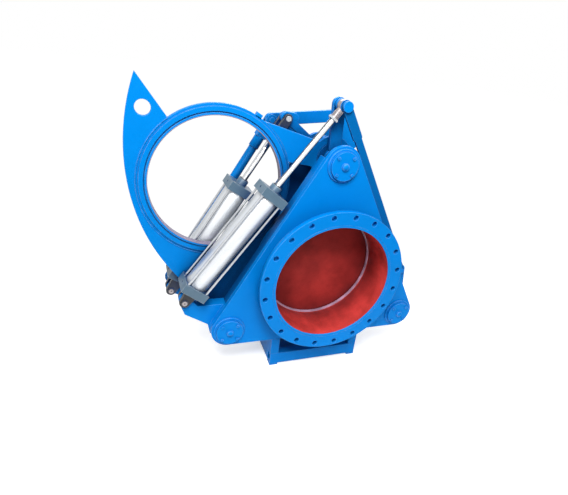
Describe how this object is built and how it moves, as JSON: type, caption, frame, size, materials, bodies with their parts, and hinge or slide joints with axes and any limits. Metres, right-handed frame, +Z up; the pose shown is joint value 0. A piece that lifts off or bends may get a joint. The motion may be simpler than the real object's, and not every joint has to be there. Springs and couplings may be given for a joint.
{
  "type": "sector goggle valve",
  "caption": "Flanged line-blind valve: a sector goggle plate with an open ring and a red blind disc swings between body halves that linked screws clamp, moved by air cylinders.",
  "frame": {"origin": "centre of the front flange's face, on the bore axis", "axes": "+X to the right seen from the front, +Y along the bore from the front flange to the rear flange, +Z up"},
  "size_m": [1.5193, 0.5, 1.4325],
  "materials": {
    "blue_paint": "glossy",
    "red_primer": "satin",
    "slate_paint": "satin",
    "black_paint": "satin",
    "zinc_steel": "satin",
    "chrome_rod": "polished",
    "aluminium": "brushed",
    "bronze": "machined",
    "seal": "matte"
  },
  "bodies": {
    "frame": {"front_flange": "blue_paint", "front_neck": "red_primer", "front_yoke_plate": "blue_paint", "front_seat_ring": "red_primer", "front_seal": "seal", "front_ribs": "blue_paint", "screw_covers": "blue_paint", "cover_bolts_set": "zinc_steel", "screw_bushes": "bronze", "bracket_plate": "blue_paint", "cylinder_bracket": "blue_paint", "base_beams": "blue_paint", "base_posts": "blue_paint", "base_panels": "blue_paint", "foot_pads": "blue_paint"},
    "rear_body": {"rear_flange": "blue_paint", "rear_neck": "red_primer", "rear_yoke_plate": "blue_paint", "rear_seat_ring": "red_primer", "rear_seal": "seal", "rear_ribs": "blue_paint", "screw_nuts": "bronze"},
    "goggle_plate": {"open_ring": "blue_paint", "blind_disc": "red_primer", "tail_sector": "blue_paint", "neck_arms": "blue_paint", "plate_hub": "blue_paint", "hub_bush": "bronze", "swing_arm": "blue_paint", "swing_pin": "zinc_steel"},
    "top_screw_shaft": {"top_screw": "zinc_steel", "front_rocker": "blue_paint", "rear_rocker": "blue_paint", "rocker_pins": "blue_paint", "top_end_nut": "zinc_steel"},
    "left_screw_shaft": {"left_screw": "zinc_steel", "left_crank": "blue_paint", "left_crank_pin": "zinc_steel", "left_end_nut": "zinc_steel"},
    "right_screw_shaft": {"right_screw": "zinc_steel", "right_crank": "blue_paint", "right_crank_pin": "zinc_steel"},
    "right_link_bar": {"right_link": "blue_paint"},
    "left_link_bar": {"left_link_tube": "blue_paint", "left_link_forks": "blue_paint"},
    "clamp_cylinder": {"clamp_barrel": "aluminium", "clamp_head_cap": "slate_paint", "clamp_end_cap": "slate_paint", "clamp_tie_rods": "zinc_steel", "clamp_clevis": "black_paint"},
    "clamp_piston_rod": {"clamp_rod": "chrome_rod", "clamp_rod_eye": "zinc_steel", "clamp_lock_nut": "zinc_steel"},
    "swing_cylinder": {"swing_barrel": "aluminium", "swing_head_cap": "slate_paint", "swing_end_cap": "slate_paint", "swing_tie_rods": "zinc_steel", "swing_clevis": "black_paint"},
    "swing_piston_rod": {"swing_rod": "chrome_rod", "swing_yoke": "black_paint"}
  },
  "joints": [
    {"name": "plate_swing", "type": "hinge", "parent": "frame", "child": "goggle_plate", "pos_m": [0, 0.25, 0.56497], "axis": [0, -1, 0], "range_deg": [0, 77]},
    {"name": "swing_rod_pivot", "type": "hinge", "parent": "goggle_plate", "child": "swing_piston_rod", "pos_m": [-0.21529, 0.337, 0.72957], "axis": [0, -1, 0], "range_deg": [-91, 0]},
    {"name": "swing_stroke", "type": "slide", "parent": "swing_piston_rod", "child": "swing_cylinder", "axis": [0.5235, 0, 0.852], "range_m": [0, 0.2621]},
    {"name": "clamp_turn", "type": "hinge", "parent": "frame", "child": "top_screw_shaft", "pos_m": [0, 0.25, 0.56497], "axis": [0, -1, 0], "range_deg": [0, 13]},
    {"name": "left_screw_turn", "type": "hinge", "parent": "frame", "child": "left_screw_shaft", "pos_m": [-0.48928, 0.25, -0.28248], "axis": [0, -1, 0], "range_deg": [0, 13]},
    {"name": "right_screw_turn", "type": "hinge", "parent": "frame", "child": "right_screw_shaft", "pos_m": [0.48928, 0.25, -0.28248], "axis": [0, -1, 0], "range_deg": [0, 13]},
    {"name": "right_link_pivot", "type": "hinge", "parent": "top_screw_shaft", "child": "right_link_bar", "pos_m": [-0.01108, 0.135, 0.81873], "axis": [0, -1, 0], "range_deg": [-13, 0]},
    {"name": "left_link_pivot", "type": "hinge", "parent": "top_screw_shaft", "child": "left_link_bar", "pos_m": [-0.254, 0.4518, 0.70097], "axis": [0, -1, 0], "range_deg": [-13, 0]},
    {"name": "body_release", "type": "slide", "parent": "frame", "child": "rear_body", "axis": [0, 1, 0], "range_m": [0, 0.0058]},
    {"name": "clamp_rod_pivot", "type": "hinge", "parent": "top_screw_shaft", "child": "clamp_piston_rod", "pos_m": [-0.01108, 0.163, 0.81873], "axis": [0, -1, 0], "range_deg": [-11.1, 0]},
    {"name": "clamp_stroke", "type": "slide", "parent": "clamp_piston_rod", "child": "clamp_cylinder", "axis": [0.5966, 0, 0.8025], "range_m": [0, 0.0404]}
  ],
  "couplings": [
    {"joint": "swing_rod_pivot", "follows": "plate_swing", "ratio": -1.1787},
    {"joint": "swing_stroke", "follows": "plate_swing", "m_per_rad": 0.19499},
    {"joint": "left_screw_turn", "follows": "clamp_turn", "ratio": 1},
    {"joint": "right_screw_turn", "follows": "clamp_turn", "ratio": 1},
    {"joint": "right_link_pivot", "follows": "clamp_turn", "ratio": -1},
    {"joint": "left_link_pivot", "follows": "clamp_turn", "ratio": -1},
    {"joint": "body_release", "follows": "clamp_turn", "m_per_rad": 0.025562},
    {"joint": "clamp_rod_pivot", "follows": "clamp_turn", "ratio": -0.84216},
    {"joint": "clamp_stroke", "follows": "clamp_turn", "m_per_rad": 0.17801}
  ]
}
